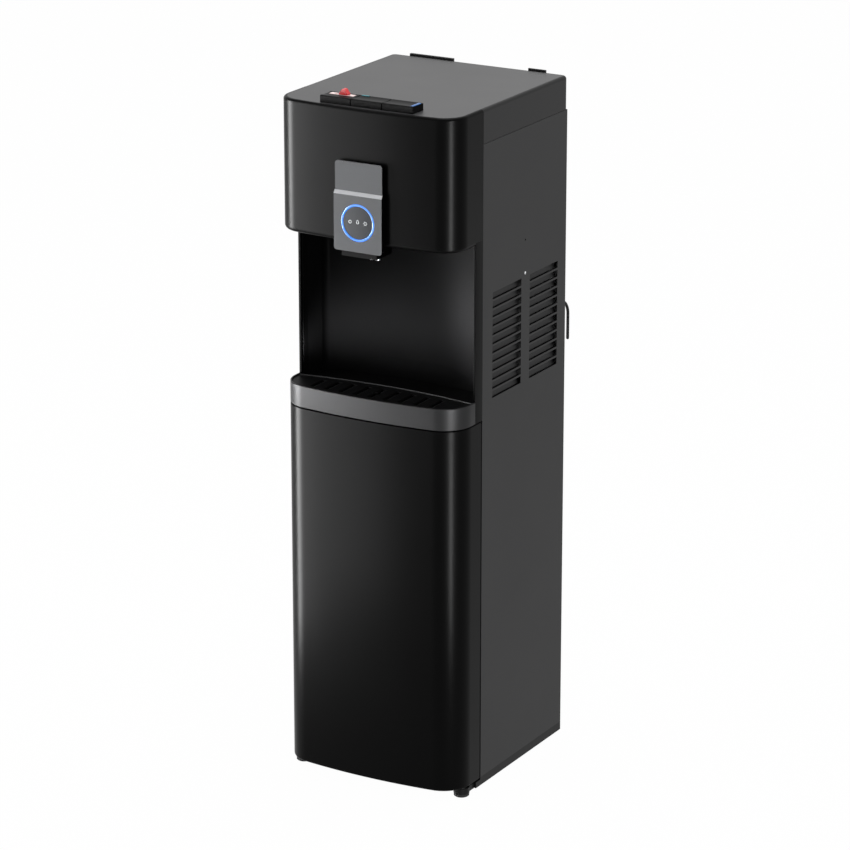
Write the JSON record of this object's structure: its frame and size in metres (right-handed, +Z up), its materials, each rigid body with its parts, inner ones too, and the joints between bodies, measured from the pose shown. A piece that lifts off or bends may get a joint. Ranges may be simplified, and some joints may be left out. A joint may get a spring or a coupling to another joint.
{
  "type": "floor-standing bottom-loading water dispenser",
  "caption": "Tall black water dispenser with a bowed lower door over a bottle bay, an open recess with a drip tray, a press-key row on top and pressed side louvres.",
  "frame": {"origin": "floor level, centred between the sides and between the foremost and rearmost points", "axes": "+Z up, -Y towards the user (front), +X to the right seen from the front"},
  "size_m": [0.2992, 0.389, 1.0539],
  "materials": {
    "black_shell": "satin moulded",
    "satin_black": "satin",
    "panel_grey": "fine satin powder coat",
    "band_grey": "brushed",
    "plate_silver": "satin",
    "steel": "plain",
    "zinc_sheet": "zinc coated sheet",
    "copper": "drawn tube",
    "white_plastic": "moulded",
    "foam": "rigid foam",
    "blue_light": "lit ring",
    "dark_lens": "gloss",
    "rose_insert": "gloss",
    "red_plastic": "gloss",
    "rubber": "matt"
  },
  "bodies": {
    "cabinet": {"base_pan": "black_shell", "rear_feet": "rubber", "left_side_panel": "panel_grey", "right_side_panel": "panel_grey", "lower_rear_panel": "zinc_sheet", "upper_rear_panel": "zinc_sheet", "case_screws": "steel", "front_panel": "satin_black", "top_skirt": "satin_black", "top_panel": "satin_black", "recess_liner": "satin_black", "spout_block": "satin_black", "face_plate_upper": "plate_silver", "face_plate_lower": "plate_silver", "light_ring": "blue_light", "display_window": "dark_lens", "nozzles": "steel", "valve_block": "white_plastic", "lower_hinge_pin": "steel", "upper_hinge_bracket": "steel", "bay_liner": "white_plastic", "mid_shelf": "zinc_sheet", "compressor": "black_shell", "compressor_mounts": "rubber", "refrigerant_pipes": "copper", "water_pump": "black_shell", "condenser": "black_shell", "tank_shelf": "zinc_sheet", "cold_tank": "steel", "cold_jacket": "foam", "hot_tank": "steel", "control_box": "white_plastic", "key_guide": "black_shell", "hot_spring": "steel", "room_spring": "steel", "cold_spring": "steel", "switch_housing": "black_shell", "lid_catch": "black_shell", "drain_fitting": "white_plastic", "cord_gland": "black_shell", "rear_hooks": "black_shell"},
    "door": {"door_skin": "satin_black", "door_liner": "black_shell", "door_bushes": "white_plastic", "door_magnets": "steel"},
    "tray": {"tray_band": "band_grey", "tray_basin": "black_shell"},
    "grille": {"tray_grille": "black_shell"},
    "hot_button": {"hot_key": "black_shell", "lock_window": "rose_insert"},
    "child_lock": {"lock_knob": "red_plastic"},
    "room_button": {"room_key": "black_shell"},
    "cold_button": {"cold_key": "black_shell"},
    "hot_rocker": {"hot_switch": "black_shell"},
    "cold_rocker": {"cold_switch": "black_shell"},
    "light_rocker": {"light_switch": "black_shell"},
    "cap": {"drain_cap": "black_shell"},
    "left_foot": {"front_left_foot": "rubber"},
    "right_foot": {"front_right_foot": "rubber"},
    "probe": {"bottle_probe": "white_plastic"}
  },
  "joints": [
    {"name": "door_hinge", "type": "hinge", "parent": "cabinet", "child": "door", "pos_m": [0.137, -0.132, 0.3], "axis": [0, 0, 1], "range_deg": [0, 110]},
    {"name": "tray_slide", "type": "slide", "parent": "cabinet", "child": "tray", "axis": [0, -1, 0], "range_m": [0, 0.07]},
    {"name": "grille_lift", "type": "slide", "parent": "tray", "child": "grille", "axis": [0, 0, 1], "range_m": [0, 0.025]},
    {"name": "hot_press", "type": "slide", "parent": "cabinet", "child": "hot_button", "axis": [0, 0, -1], "range_m": [0, 0.004], "stiffness_N_per_m": 250, "springref_m": -0.003, "deforming": ["hot_spring"]},
    {"name": "lock_slide", "type": "slide", "parent": "hot_button", "child": "child_lock", "axis": [-1, 0, 0], "range_m": [0, 0.008]},
    {"name": "room_press", "type": "slide", "parent": "cabinet", "child": "room_button", "axis": [0, 0, -1], "range_m": [0, 0.004], "stiffness_N_per_m": 250, "springref_m": -0.003, "deforming": ["room_spring"]},
    {"name": "cold_press", "type": "slide", "parent": "cabinet", "child": "cold_button", "axis": [0, 0, -1], "range_m": [0, 0.004], "stiffness_N_per_m": 250, "springref_m": -0.003, "deforming": ["cold_spring"]},
    {"name": "hot_rocker_tilt", "type": "hinge", "parent": "cabinet", "child": "hot_rocker", "pos_m": [-0.063, 0.1565, 1.01], "axis": [-1, 0, 0], "range_deg": [0, 16]},
    {"name": "cold_rocker_tilt", "type": "hinge", "parent": "cabinet", "child": "cold_rocker", "pos_m": [-0.083, 0.1565, 1.01], "axis": [-1, 0, 0], "range_deg": [0, 16]},
    {"name": "light_rocker_tilt", "type": "hinge", "parent": "cabinet", "child": "light_rocker", "pos_m": [-0.103, 0.1565, 1.01], "axis": [-1, 0, 0], "range_deg": [0, 16]},
    {"name": "cap_pull", "type": "slide", "parent": "cabinet", "child": "cap", "axis": [0, 1, 0], "range_m": [0, 0.018]},
    {"name": "left_foot_turn", "type": "hinge", "parent": "cabinet", "child": "left_foot", "pos_m": [-0.137, -0.132, 0.005], "axis": [0, 0, 1], "continuous": true},
    {"name": "right_foot_turn", "type": "hinge", "parent": "cabinet", "child": "right_foot", "pos_m": [0.137, -0.132, 0.005], "axis": [0, 0, 1], "continuous": true},
    {"name": "probe_lift", "type": "slide", "parent": "cabinet", "child": "probe", "axis": [0, 0, 1], "range_m": [0, 0.02]}
  ]
}
